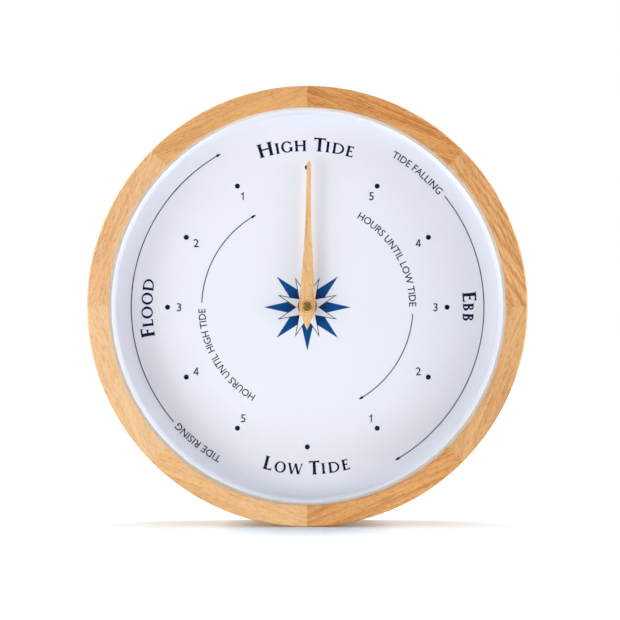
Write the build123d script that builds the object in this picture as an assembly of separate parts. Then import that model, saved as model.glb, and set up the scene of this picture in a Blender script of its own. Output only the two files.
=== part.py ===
from build123d import *
import math
import os

# Tide clock for a wall: a ring of eight glued beech segments, a white rim behind flat glass,
# a printed dial on a board and a quartz movement whose tide wheel turns once in 12 h 25 min.
# Each piece is drawn with the clock lying on its back on the wall plane: x to the right, y up the
# dial, heights out from the wall. The last step stands it up, with the hanger's hole at the origin.

# Wooden ring
opening_radius = 104.0
ring_width = 11.0
lip_thickness = 4.5
seat_lap = 1.5
board_lap = 4.3
seat_gap = 0.3
outer_round = 1.2
lip_round = 1.3
back_round = 0.8
segment_count = 8

# Glass, white rim, dial and the board behind it
glass_thickness = 2.0
glass_edge_break = 0.3
rim_depth = 14.0
rim_wall = 2.6
rim_draft = 1.2
dial_thickness = 0.8
board_thickness = 5.0

# Screws that hold the board to the ring
screw_radius = 1.1
screw_bite = 8.0
screw_head_radius = 1.9
screw_head_height = 1.3
screw_slot_width = 0.5
screw_slot_depth = 0.6
screw_gap = 0.05

# Fastening stack on the shaft
bush_radius = 3.95
bush_proud = 0.8
bush_edge_break = 0.3
shaft_gap = 0.1
washer_thickness = 0.5
washer_lap = 1.1
nut_radius = 5.1
nut_thickness = 2.4
nut_slot_width = 1.2
nut_slot_depth = 0.8
nut_edge_break = 0.35
rubber_thickness = 1.0
rubber_lap = 5.0

# Hanger strap
strap_thickness = 1.0
strap_width = 20.0
strap_foot = 12.0
strap_bend = 1.5
strap_clear = 1.2
hanger_wall_gap = 1.2
keyhole_radius = 4.0
keyhole_slot_radius = 1.9
keyhole_slot_rise = 4.6
keyhole_inset = 7.3
tab_end = 2.2

# Movement case
case_wall_gap = 0.7
case_wall = 1.2
train_drop = 10.5
coil_clear = 1.3
case_corner = 3.0
front_case_depth = 6.0
pillar_radius = 1.3
boss_radius = 1.3
boss_height = 1.7

# Battery, size AA, and its contacts
battery_radius = 7.25
battery_length = 50.5
battery_nub_radius = 2.75
battery_nub_length = 1.5
battery_gap = 0.3
battery_front_gap = 0.2
battery_back_gap = 0.1
battery_end_gap = 0.1
battery_edge_round = 0.7
contact_thickness = 0.4
contact_width = 9.0
contact_height = 11.0
leaf_reach = 2.6

# Gear train. Wheel planes are counted back from the front wall of the case.
plane_count = 7
first_plane = 0.8
plane_pitch = 1.35
wheel_thickness = 0.7
pinion_thickness = 1.1
plate_thickness = 0.8
run_gap = 0.05
clutch_gap = 0.03
end_play = 0.15
arbor_radius = 0.4
pivot_radius = 0.3
pivot_length = 0.9
addendum_share = 0.75
dedendum_share = 1.0
tooth_root_share = 0.25
tooth_tip_share = 0.09

tide_teeth = 41
minute_pinion_teeth = 11
minute_teeth = 40
cannon_teeth = 12
clutch_teeth = 60
third_pinion_teeth = 8
third_teeth = 64
second_pinion_teeth = 8
second_teeth = 50
first_pinion_teeth = 10
first_teeth = 48
rotor_teeth = 8

minute_reach = 9.1
third_reach = 7.2
first_reach = 7.5
rotor_reach = 5.6
minute_angle = 180.0
third_angle = 0.0
first_angle = 100.0
rotor_angle = 60.0

# Tubes on the hand axis
tide_tube_radius = 2.55
tide_tube_bore = 1.85
cannon_radius = 1.78
cannon_tail_radius = 1.3
cannon_bore = 0.6
second_arbor_radius = 0.54
clutch_hub_radius = 2.2

# Setting arbor and knob
setting_arbor_radius = 0.9
setting_pivot_radius = 0.6
setting_pivot_length = 0.6
arbor_pass_gap = 0.4
knob_radius = 4.2
knob_height = 2.1
knob_flute_radius = 0.5
knob_flutes = 12
knob_gap = 0.4
knob_inset = 0.2

# Stepping motor
magnet_radius = 1.9
magnet_length = 2.2
magnet_gap = 0.4
stator_thickness = 0.8
stator_width = 25.0
stator_bar = 6.0
stator_leg = 2.7
coil_side_gap = 0.8
coil_radius = 3.8
coil_centre = 21.3
bobbin_flange = 4.2
bobbin_flange_thickness = 0.8
bobbin_wall = 0.6
core_width = 2.0

# Circuit board
circuit_width = 8.8
circuit_height = 24.0
circuit_thickness = 1.0
circuit_drop = 3.5
circuit_gap = 0.5
crystal_radius = 1.0
crystal_length = 6.0
chip_radius = 2.4
chip_height = 1.0
chip_round = 0.75

# Hand, collet and cap nut
hand_length = 76.8
hand_tail = 12.6
hand_hub_half = 4.3
hand_thickness = 1.0
hand_bevel_width = 0.6
hand_bevel_depth = 0.35
hand_lean = 0.64
collet_gap = 0.4
collet_shoulder_radius = 4.0
collet_shoulder_height = 1.2
collet_neck_radius = 3.2
collet_flange_radius = 3.7
collet_flange_height = 0.4
cap_radius = 2.5
cap_gap = 0.3
cap_bite = 2.3
cap_crown = 0.8
cap_dimple_radius = 0.9
cap_dimple_depth = 0.35

# Half of the hand's outline from the tip to the tail point: each place is a share of the
# length or of the tail, and each half width a share of the hub's.
blade_shares = (
    (0.9785, 0.255),
    (0.745, 0.30),
    (0.580, 0.372),
    (0.468, 0.456),
    (0.357, 0.584),
    (0.247, 0.709),
    (0.136, 0.837),
    (0.040, 0.955),
)
tail_shares = (
    (0.10, 0.985),
    (0.357, 0.767),
    (0.690, 0.400),
    (1.0, 0.0),
)

# Depth of the movement case, set by the battery or by the train over the knob's well
well_depth = knob_inset + knob_height + knob_gap
battery_depth = case_wall + battery_front_gap + 2 * battery_radius + battery_back_gap
wheels_depth = first_plane + (plane_count - 1) * plane_pitch + pinion_thickness / 2 + end_play
case_depth = max(battery_depth, well_depth + case_wall + wheels_depth + case_wall)

# Heights above the wall
case_back = case_wall_gap
case_front = case_back + case_depth
strap_front = case_front + strap_thickness
board_back = strap_front + rubber_thickness
board_front = board_back + board_thickness
dial_front = board_front + dial_thickness
glass_back = dial_front + rim_depth
lip_back = glass_back + glass_thickness
ring_depth = lip_back + lip_thickness
case_split = case_front - front_case_depth
chamber_front = case_front - case_wall
chamber_back = case_back + case_wall
boss_top = chamber_back + boss_height
nut_back = dial_front + washer_thickness
nut_front = nut_back + nut_thickness
bush_front = nut_front + bush_proud
collet_back = bush_front + collet_gap
hand_back = collet_back + collet_shoulder_height
hand_front = hand_back + hand_thickness
tide_tube_front = hand_front + collet_flange_height
cap_back = tide_tube_front + cap_gap
cannon_front = cap_back + cap_bite

# Length of the coil, between the stator's legs
coil_length = stator_width - 2 * (stator_leg + coil_side_gap)

# Radii of the ring and what it holds
ring_radius = opening_radius + ring_width
bore_radius = opening_radius + seat_lap
recess_radius = bore_radius + board_lap
glass_radius = bore_radius - seat_gap
board_radius = recess_radius - seat_gap
screw_circle = bore_radius + board_lap / 2
segment_angle = 360 / segment_count

# Plan of the movement case, wide enough for the battery and for the train with its circuit
plate_margin = pillar_radius + arbor_pass_gap / 2
third_wheel_radius = third_reach * third_teeth / (third_teeth + second_pinion_teeth)
circuit_reach = third_reach + third_wheel_radius + plate_margin + circuit_gap
battery_span = contact_thickness + battery_end_gap + battery_length + leaf_reach
chamber_half = max(battery_span / 2, circuit_reach + circuit_width)
chamber_low = -train_drop
chamber_top = coil_centre + bobbin_flange + coil_clear
bay_top = chamber_low - case_wall
bay_bottom = bay_top - 2 * (battery_radius + battery_gap)
bay_left = chamber_half - battery_span
battery_height = case_front - case_wall - battery_front_gap - battery_radius
battery_centre = bay_bottom + battery_gap + battery_radius

# Hanger strap, from the bend above the case to the end of its tab
bend_line = chamber_top + case_wall + strap_clear + strap_thickness / 2
hanger_rise = bend_line + keyhole_inset
keyhole_top = hanger_rise + keyhole_slot_rise
tab_top = keyhole_top + keyhole_slot_radius + tab_end
tab_height = hanger_wall_gap + strap_thickness / 2
seat = (Align.CENTER, Align.CENTER, Align.MIN)


def polar(reach, angle, centre=(0, 0)):
    """Plan point at a reach and an angle, anticlockwise from the right, about a centre."""
    turn = math.radians(angle)
    return centre[0] + reach * math.cos(turn), centre[1] + reach * math.sin(turn)


minute_place = polar(minute_reach, minute_angle)
third_place = polar(third_reach, third_angle)
first_place = polar(first_reach, first_angle)
rotor_place = polar(rotor_reach, rotor_angle, first_place)


def plane_height(plane):
    """Height of the middle of wheel plane 0, 1, 2 and so on, from the front."""
    return chamber_front - first_plane - plane * plane_pitch


tide_plane = plane_height(0)
minute_plane = plane_height(1)
plate_plane = plane_height(2)
clutch_plane = plane_height(3)
third_plane = plane_height(4)
second_plane = plane_height(5)
rotor_plane = plane_height(plane_count - 1)
plate_front = plate_plane + plate_thickness / 2
plate_back = plate_plane - plate_thickness / 2
stator_back = clutch_plane - plane_pitch - stator_thickness / 2
stator_front = stator_back + stator_thickness
core_front = stator_front + stator_thickness
coil_height = stator_front + stator_thickness / 2
circuit_front = chamber_front - circuit_drop
circuit_back = circuit_front - circuit_thickness
circuit_bottom = chamber_low + circuit_gap
circuit_place = (chamber_half - circuit_width / 2, circuit_bottom + circuit_height / 2)
well_radius = knob_radius + knob_gap
well_floor = case_back + well_depth


def disc(radius, low, high, place=(0, 0)):
    """Round bar that stands from one height to another."""
    return Pos(place[0], place[1], low) * Cylinder(radius, high - low, align=seat)


def tube(outer, inner, low, high, place=(0, 0)):
    """Round bar with a bore right through."""
    return disc(outer, low, high, place) - disc(inner, low, high, place)


def slab(left, right, bottom, top, low, high):
    """Block between two x, two y and two heights."""
    middle = Pos((left + right) / 2, (bottom + top) / 2, low)
    return middle * Box(right - left, top - bottom, high - low, align=seat)


def turned(*outline):
    """Solid turned about the hand axis from points of radius and height."""
    return revolve(Plane.XZ * make_face(Polyline(*outline, close=True)), Axis.Z)


# Ring segments
def ring_outline():
    """Section of the wooden ring: lip in front, bore behind it, recess for the board."""
    points = (
        (recess_radius, 0),
        (ring_radius, 0),
        (ring_radius, ring_depth),
        (opening_radius, ring_depth),
        (opening_radius, lip_back),
        (bore_radius, lip_back),
        (bore_radius, board_front),
        (recess_radius, board_front),
    )
    rounds = (0, back_round, outer_round, lip_round, 0, 0, 0, 0)
    return Plane.XZ * make_face(FilletPolyline(*points, radius=rounds, close=True))


def ring_segment(number):
    """One of the glued segments, counted clockwise from the top, with its pilot hole."""
    start = 90 - segment_angle * number
    solid = Rot(0, 0, start) * revolve(ring_outline(), Axis.Z, segment_angle)
    hole = polar(screw_circle, start + segment_angle / 2)
    return solid - disc(screw_radius + screw_gap, board_front, board_front + screw_bite, hole)


# Glass, rim, dial and board
def glass():
    """Flat round glass with its edges broken."""
    pane = disc(glass_radius, glass_back, lip_back)
    return chamfer(pane.edges().filter_by(GeomType.CIRCLE), glass_edge_break)


def rim():
    """White spacer between the glass and the dial, drawn in towards the dial."""
    front_radius = glass_radius - rim_wall
    return turned(
        (glass_radius, dial_front),
        (glass_radius, glass_back),
        (front_radius, glass_back),
        (front_radius - rim_draft, dial_front),
    )


def dial():
    """Thin printed plate with a hole for the shaft."""
    return tube(glass_radius, bush_radius + shaft_gap, board_front, dial_front)


def screw_places():
    """Plan places of the board's screws, one in the middle of each segment."""
    return [polar(screw_circle, segment_angle * (k + 0.5)) for k in range(segment_count)]


def dial_board():
    """Round board that carries the dial and the movement."""
    board = tube(board_radius, bush_radius + shaft_gap, board_back, board_front)
    for place in screw_places():
        board -= disc(screw_radius + screw_gap, board_back, board_front, place)
    return board


def board_screw(place):
    """Pan head screw, driven from the back, with a cross in its head."""
    head_back = board_back - screw_head_height
    shank = disc(screw_radius, board_back, board_front + screw_bite, place)
    head = disc(screw_head_radius, head_back, board_back, place)
    rear_edge = head.edges().filter_by(GeomType.CIRCLE).sort_by(Axis.Z)[0]
    head = fillet(rear_edge, screw_head_height / 2)
    for turn in (0, 90):
        slot = Box(screw_head_radius, screw_slot_width, screw_slot_depth, align=seat)
        head -= Pos(place[0], place[1], head_back) * Rot(0, 0, turn) * slot
    return shank + head


def board_screws():
    """All the board's screws, as separate solids."""
    return Compound(children=[board_screw(place).solid() for place in screw_places()])


# Fastening stack
def brass_washer():
    """Flat washer under the centre nut."""
    return tube(bush_radius + washer_lap, bush_radius + shaft_gap, dial_front, nut_back)


def centre_nut():
    """Round nut with two slots for a key, on the threaded bush."""
    nut = disc(nut_radius, nut_back, nut_front)
    front_edge = nut.edges().filter_by(GeomType.CIRCLE).sort_by(Axis.Z)[-1]
    nut = chamfer(front_edge, nut_edge_break) - disc(bush_radius, nut_back, nut_front)
    slot = Box(2 * nut_radius, nut_slot_width, nut_slot_depth, align=seat)
    return nut - Pos(0, 0, nut_front - nut_slot_depth) * slot


def rubber_washer():
    """Soft washer between the hanger and the board."""
    return tube(bush_radius + rubber_lap, bush_radius + shaft_gap, strap_front, board_back)


def threaded_bush():
    """Brass bush in the front wall, with the tide wheel's tube running in its bore."""
    bush = disc(bush_radius, chamber_front, bush_front)
    front_edge = bush.edges().filter_by(GeomType.CIRCLE).sort_by(Axis.Z)[-1]
    bush = chamfer(front_edge, bush_edge_break)
    return bush - disc(tide_tube_radius + run_gap, chamber_front, bush_front)


def hanger_strap():
    """Steel strap under the movement, bent back over its top to a tab with a keyhole."""
    middle = case_front + strap_thickness / 2
    route = ((-strap_foot, middle), (bend_line, middle), (bend_line, tab_height))
    route += ((tab_top, tab_height),)
    path = Plane.YZ * FilletPolyline(*route, radius=strap_bend)
    section = Plane.XZ.offset(strap_foot) * Pos(0, middle) * Rectangle(strap_width, strap_thickness)
    strap = sweep(section, path)
    strap -= disc(bush_radius + shaft_gap, case_front, strap_front)
    tab_back = tab_height - strap_thickness / 2
    tab_front = tab_height + strap_thickness / 2
    strap -= disc(keyhole_radius, tab_back, tab_front, (0, hanger_rise))
    strap -= disc(keyhole_slot_radius, tab_back, tab_front, (0, keyhole_top))
    slot_half = keyhole_slot_radius
    return strap - slab(-slot_half, slot_half, hanger_rise, keyhole_top, tab_back, tab_front)


# Movement case
def case_block(low, high):
    """Block of the case's outline, with round corners."""
    half = chamber_half + case_wall
    block = slab(-half, half, bay_bottom - case_wall, chamber_top + case_wall, low, high)
    return fillet(block.edges().filter_by(Axis.Z), case_corner)


def chamber(low, high):
    """Space for the train, above the battery bay."""
    return slab(-chamber_half, chamber_half, chamber_low, chamber_top, low, high)


def bay(low, high):
    """Space for the battery along the bottom of the case, from its right wall."""
    return slab(bay_left, chamber_half, bay_bottom, bay_top, low, high)


def pillar_places():
    """Corners of the train plate, where pillars carry it."""
    left, right, bottom, top = plate_bounds()
    return [(x, y) for x in (left + pillar_radius, right - pillar_radius)
            for y in (bottom + pillar_radius, top - pillar_radius)]


def core_places():
    """Ends of the coil core, where posts press it on the stator."""
    reach = stator_width / 2 - stator_leg / 2
    return [(-reach, coil_centre), (reach, coil_centre)]


def circuit_post_places():
    """Places of the posts under the circuit board."""
    reach = circuit_height / 2 - pillar_radius
    return [(circuit_place[0], circuit_place[1] + side * reach) for side in (-1, 1)]


def front_case():
    """Front half of the case, with posts for the plate, the coil core and the circuit."""
    shell = case_block(case_split, case_front)
    shell -= chamber(case_split, chamber_front)
    shell -= bay(case_split, chamber_front)
    for place in pillar_places():
        shell += disc(pillar_radius, plate_front, chamber_front, place)
    for place in core_places():
        shell += disc(pillar_radius, core_front, chamber_front, place)
    for place in circuit_post_places():
        shell += disc(pillar_radius, circuit_front, chamber_front, place)
    shell -= disc(bush_radius, chamber_front, case_front)
    blind = chamber_front + setting_pivot_length + end_play
    return shell - disc(setting_pivot_radius + run_gap, chamber_front, blind, minute_place)


def rear_case():
    """Rear half of the case, with the pivot bosses, the open bay and the knob's well."""
    shell = case_block(case_back, case_split)
    shell -= chamber(chamber_back, case_split)
    shell -= bay(case_back, case_split)
    for place in ((0, 0), third_place, first_place, rotor_place):
        shell += disc(boss_radius, chamber_back, boss_top, place)
        hole_low = boss_top - pivot_length - end_play
        shell -= disc(pivot_radius + run_gap, hole_low, boss_top, place)
    shell += disc(well_radius + case_wall, chamber_back, well_floor + case_wall, minute_place)
    shell -= disc(well_radius, case_back, well_floor, minute_place)
    bearing = setting_arbor_radius + run_gap
    return shell - disc(bearing, well_floor, well_floor + case_wall, minute_place)


# Battery and contacts
def battery():
    """Round cell lying across the bay, positive end to the right, and its small nub."""
    right = chamber_half - contact_thickness - battery_end_gap
    body_length = battery_length - battery_nub_length
    body = Cylinder(battery_radius, body_length, align=seat)
    body = fillet(body.edges().filter_by(GeomType.CIRCLE), battery_edge_round)
    body += disc(battery_nub_radius, body_length, battery_length)
    start = Pos(right - battery_length, battery_centre, battery_height)
    return start * Rot(0, 90, 0) * body


def contact_span():
    """Lowest and highest y of both contacts, about the middle of the battery."""
    return battery_centre - contact_width / 2, battery_centre + contact_width / 2


def positive_contact():
    """Plate at the right end of the bay."""
    bottom, top = contact_span()
    low = battery_height - contact_height / 2
    left = chamber_half - contact_thickness
    return slab(left, chamber_half, bottom, top, low, low + contact_height)


def negative_contact():
    """Plate at the left end of the bay with a bent leaf that presses on the battery."""
    bottom, top = contact_span()
    back = bay_left
    crest = back + leaf_reach - battery_end_gap
    half = contact_height / 2
    leaf = (
        (back, battery_height - half),
        (back + contact_thickness, battery_height - half),
        (crest, battery_height),
        (back + contact_thickness, battery_height + half),
        (back, battery_height + half),
        (back, battery_height + half - contact_thickness),
        (crest - 2 * contact_thickness, battery_height),
        (back, battery_height - half + contact_thickness),
    )
    face = Plane.XZ.offset(-bottom) * make_face(Polyline(*leaf, close=True))
    return extrude(face, top - bottom, dir=(0, 1, 0))


# Wheels
def gear(teeth, module, middle, thickness, phase):
    """Straight flanked gear with one tooth at the angle phase."""
    step = 360 / teeth
    root = module * (teeth / 2 - dedendum_share)
    tip = module * (teeth / 2 + addendum_share)
    flanks = ((root, -tooth_root_share), (tip, -tooth_tip_share))
    flanks += ((tip, tooth_tip_share), (root, tooth_root_share))
    points = [
        polar(radius, phase + step * (tooth + share))
        for tooth in range(teeth)
        for radius, share in flanks
    ]
    face = make_face(Polyline(*points, close=True))
    return Pos(0, 0, middle - thickness / 2) * extrude(face, thickness)


def mesh_phase(teeth, phase, mate_teeth, angle):
    """Phase at which a mate, seen from this gear at an angle, has a gap for its tooth."""
    ahead = (angle - phase) * teeth / 360
    return angle + 180 - (0.5 - ahead) * 360 / mate_teeth


def module_of(reach, teeth, mate_teeth):
    """Module that makes two gears mesh at a centre distance."""
    return 2 * reach / (teeth + mate_teeth)


motion_module = module_of(minute_reach, minute_teeth, cannon_teeth)
clutch_module = module_of(third_reach, clutch_teeth, third_pinion_teeth)
third_module = module_of(third_reach, third_teeth, second_pinion_teeth)
second_module = module_of(first_reach, second_teeth, first_pinion_teeth)
first_module = module_of(rotor_reach, first_teeth, rotor_teeth)
minute_phase = mesh_phase(cannon_teeth, 0, minute_teeth, minute_angle)
tide_phase = mesh_phase(minute_pinion_teeth, 0, tide_teeth, minute_angle + 180)
third_phase = mesh_phase(second_pinion_teeth, 0, third_teeth, third_angle)
clutch_phase = mesh_phase(third_pinion_teeth, 0, clutch_teeth, third_angle + 180)
first_pinion_phase = mesh_phase(second_teeth, 0, first_pinion_teeth, first_angle)
rotor_phase = mesh_phase(first_teeth, 0, rotor_teeth, rotor_angle)


def train_arbor(place):
    """Arbor between the train plate and a rear boss, with a pivot at each end."""
    front = plate_back - end_play
    back = boss_top + end_play
    arbor = disc(arbor_radius, back, front, place)
    arbor += disc(pivot_radius, boss_top - pivot_length, back, place)
    return arbor + disc(pivot_radius, front, plate_plane + plate_thickness / 2, place)


def placed(place, wheel):
    """A wheel drawn at the origin, moved to its arbor."""
    return Pos(place[0], place[1], 0) * wheel


def tide_wheel():
    """Wheel and tube that carry the hand, one turn from high tide to high tide."""
    wheel = gear(tide_teeth, motion_module, tide_plane, wheel_thickness, tide_phase)
    back = tide_plane - wheel_thickness / 2
    wheel += disc(tide_tube_radius, back, tide_tube_front)
    return wheel - disc(tide_tube_bore, back, tide_tube_front)


def minute_wheel():
    """Setting wheel: meshes with the cannon pinion, its pinion drives the tide wheel."""
    wheel = gear(minute_teeth, motion_module, minute_plane, wheel_thickness, minute_phase)
    wheel += gear(minute_pinion_teeth, motion_module, tide_plane, pinion_thickness, 0)
    shoulder = chamber_front - end_play
    wheel += disc(setting_arbor_radius, case_back + knob_inset, shoulder)
    wheel += disc(setting_pivot_radius, shoulder, chamber_front + setting_pivot_length)
    return placed(minute_place, wheel)


def setting_knob():
    """Fluted knob in the well at the back, pressed on the setting arbor."""
    low = case_back + knob_inset
    knob = disc(knob_radius, low, low + knob_height)
    knob -= disc(setting_arbor_radius, low, low + knob_height)
    for k in range(knob_flutes):
        edge = polar(knob_radius, k * 360 / knob_flutes)
        knob -= disc(knob_flute_radius, low, low + knob_height, edge)
    return placed(minute_place, knob)


def cannon_pinion():
    """Pinion and long tube inside the tide tube, turned through the clutch wheel."""
    back = clutch_plane - pinion_thickness / 2
    pinion_back = minute_plane - pinion_thickness / 2
    cannon = gear(cannon_teeth, motion_module, minute_plane, pinion_thickness, 0)
    cannon += disc(cannon_tail_radius, back, pinion_back)
    cannon += disc(cannon_radius, minute_plane + pinion_thickness / 2, cannon_front)
    return cannon - disc(cannon_bore, back, cannon_front)


def clutch_wheel():
    """Wheel that grips the cannon's tail, and slips when the clock is set."""
    half = pinion_thickness / 2
    wheel = gear(clutch_teeth, clutch_module, clutch_plane, wheel_thickness, clutch_phase)
    wheel += disc(clutch_hub_radius, clutch_plane - half, clutch_plane + half)
    bore = cannon_tail_radius + clutch_gap
    return wheel - disc(bore, clutch_plane - half, clutch_plane + half)


def third_wheel():
    """Wheel driven by the seconds pinion, with the pinion that drives the clutch wheel."""
    wheel = gear(third_teeth, third_module, third_plane, wheel_thickness, third_phase)
    wheel += gear(third_pinion_teeth, clutch_module, clutch_plane, pinion_thickness, 0)
    return placed(third_place, wheel) + train_arbor(third_place)


def second_wheel():
    """Seconds wheel, one turn a minute, its arbor running up inside the cannon."""
    wheel = gear(second_teeth, second_module, second_plane, wheel_thickness, 0)
    wheel += gear(second_pinion_teeth, third_module, third_plane, pinion_thickness, 0)
    wheel += disc(second_arbor_radius, third_plane, cannon_front - end_play)
    wheel += disc(arbor_radius, boss_top + end_play, third_plane)
    return wheel + disc(pivot_radius, boss_top - pivot_length, boss_top + end_play)


def first_wheel():
    """Wheel next to the rotor, with the pinion that drives the seconds wheel."""
    wheel = gear(first_teeth, first_module, rotor_plane, wheel_thickness, 0)
    wheel += gear(first_pinion_teeth, second_module, second_plane, pinion_thickness, first_pinion_phase)
    return placed(first_place, wheel) + train_arbor(first_place)


def magnet_span():
    """Lowest and highest height of the rotor's magnet, level with the stator."""
    middle = stator_back + stator_thickness / 2
    return middle - magnet_length / 2, middle + magnet_length / 2


def rotor_pinion():
    """Arbor and pinion of the rotor, half a turn each second."""
    wheel = gear(rotor_teeth, first_module, rotor_plane, pinion_thickness, rotor_phase)
    return placed(rotor_place, wheel) + train_arbor(rotor_place)


def rotor_magnet():
    """Round magnet on the rotor's arbor."""
    low, high = magnet_span()
    return tube(magnet_radius, arbor_radius, low, high, rotor_place)


# Train plate
def plate_bounds():
    """Left, right, bottom and top of the plate, clear of the wheels it covers."""
    tip = motion_module * addendum_share
    left = minute_place[0] - motion_module * minute_teeth / 2 - tip - plate_margin
    right = third_place[0] + third_wheel_radius + plate_margin
    top = rotor_place[1] + magnet_radius + plate_margin
    bottom = chamber_low + arbor_pass_gap
    return left, right, bottom, top


def train_plate():
    """Middle plate on four pillars, with the front bearings of the train."""
    left, right, bottom, top = plate_bounds()
    plate = slab(left, right, bottom, top, plate_back, plate_front)
    plate -= disc(cannon_tail_radius + run_gap, plate_back, plate_front)
    for place in (third_place, first_place, rotor_place):
        plate -= disc(pivot_radius + run_gap, plate_back, plate_front, place)
    passage = setting_arbor_radius + arbor_pass_gap
    return plate - disc(passage, plate_back, plate_front, minute_place)


# Stepping motor
def stator():
    """Soft iron plate: a bar with the rotor's hole and a leg at each end."""
    half = stator_width / 2
    bottom = rotor_place[1] - stator_bar / 2
    top = rotor_place[1] + stator_bar / 2
    leg_top = coil_centre + core_width
    plate = slab(-half, half, bottom, top, stator_back, stator_front)
    plate += slab(-half, stator_leg - half, bottom, leg_top, stator_back, stator_front)
    plate += slab(half - stator_leg, half, bottom, leg_top, stator_back, stator_front)
    hole = magnet_radius + magnet_gap
    return plate - disc(hole, stator_back, stator_front, rotor_place)


def coil_core():
    """Iron strip through the coil, lying on both legs of the stator."""
    half = stator_width / 2
    bottom = coil_centre - core_width / 2
    return slab(-half, half, bottom, bottom + core_width, stator_front, core_front)


def along_coil(solid):
    """A solid drawn upright about the origin, laid along the coil's axis."""
    return Pos(0, coil_centre, coil_height) * Rot(0, 90, 0) * solid


def coil_bobbin():
    """Plastic bobbin with a flange at each end."""
    half = coil_length / 2
    sleeve = core_width / 2 + bobbin_wall
    body = disc(sleeve, -half, half)
    body += disc(bobbin_flange, -half, bobbin_flange_thickness - half)
    body += disc(bobbin_flange, half - bobbin_flange_thickness, half)
    edge = core_width / 2
    strip = stator_thickness / 2
    return along_coil(body - slab(-strip, strip, -edge, edge, -half, half))


def coil_winding():
    """Copper winding between the flanges."""
    half = coil_length / 2 - bobbin_flange_thickness
    return along_coil(tube(coil_radius, core_width / 2 + bobbin_wall, -half, half))


# Circuit
def circuit_board():
    """Board on two posts at the right of the train."""
    x, y = circuit_place
    wide = circuit_width / 2
    tall = circuit_height / 2
    return slab(x - wide, x + wide, y - tall, y + tall, circuit_back, circuit_front)


def quartz_crystal():
    """Metal can of the crystal, lying on the back of the circuit board."""
    x, y = circuit_place
    can = Cylinder(crystal_radius, crystal_length)
    return Pos(x, y + crystal_length, circuit_back - crystal_radius) * Rot(90, 0, 0) * can


def timing_chip():
    """Round blob of resin over the timing chip."""
    x, y = circuit_place
    blob = disc(chip_radius, circuit_back - chip_height, circuit_back, (x, y - crystal_length))
    back_edge = blob.edges().filter_by(GeomType.CIRCLE).sort_by(Axis.Z)[0]
    return fillet(back_edge, chip_round)


# Hand, collet and cap nut
def hand_face():
    """Outline of the hand: a smooth curve down one side, mirrored, with a pointed tip."""
    side = [(half * hand_hub_half, along * hand_length) for along, half in blade_shares]
    side += [(half * hand_hub_half, -along * hand_tail) for along, half in tail_shares]
    right = Spline(*side) + Line((0, hand_length), side[0])
    return make_face(right + mirror(right, Plane.YZ))


def hand():
    """Flat hand with bevelled front edges, set on the collet, a little past the top."""
    blade = Pos(0, 0, hand_back) * extrude(hand_face(), hand_thickness)
    front = blade.faces().sort_by(Axis.Z)[-1]
    blade = chamfer(front.edges(), hand_bevel_width, hand_bevel_depth, reference=front)
    blade -= disc(collet_neck_radius, hand_back, hand_front)
    return Rot(0, 0, -hand_lean) * blade


def hand_collet():
    """Brass collet pressed on the tide tube, riveted through the hand."""
    collet = disc(collet_shoulder_radius, collet_back, hand_back)
    collet += disc(collet_neck_radius, hand_back, hand_front)
    collet += disc(collet_flange_radius, hand_front, tide_tube_front)
    return collet - disc(tide_tube_radius, collet_back, tide_tube_front)


def cap_nut():
    """Domed brass nut on the end of the cannon tube, with a dimple in its crown."""
    top = cannon_front + cap_crown
    cap = disc(cap_radius, cap_back, top)
    front_edge = cap.edges().filter_by(GeomType.CIRCLE).sort_by(Axis.Z)[-1]
    cap = fillet(front_edge, cap_crown)
    cap -= disc(cap_dimple_radius, top - cap_dimple_depth, top)
    return cap - disc(cannon_radius, cap_back, cannon_front)


def stood_up(solid):
    """The piece as it hangs: y up becomes z up, heights point away from the wall."""
    return Pos(0, tab_height, -hanger_rise) * Rot(90, 0, 0) * solid


def write(name, solid):
    """One file for one node."""
    export_step(stood_up(solid), f"parts/{name}.step")


os.makedirs("parts", exist_ok=True)
for number in range(1, segment_count + 1):
    write(f"frame_segment_{number}", ring_segment(number))
for maker in (
    glass, rim, dial, dial_board, board_screws, brass_washer, centre_nut, rubber_washer,
    threaded_bush, hanger_strap, front_case, rear_case, battery, positive_contact,
    negative_contact, tide_wheel, minute_wheel, setting_knob, cannon_pinion, clutch_wheel,
    third_wheel, second_wheel, first_wheel, rotor_pinion, rotor_magnet, train_plate, stator,
    coil_core, coil_bobbin, coil_winding, circuit_board, quartz_crystal, timing_chip, hand,
    hand_collet, cap_nut,
):
    write(maker.__name__, maker())
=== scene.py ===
"""Tide clock for a wall: the finish of each piece, the printing on its dial and the studio round it."""
import math

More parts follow.
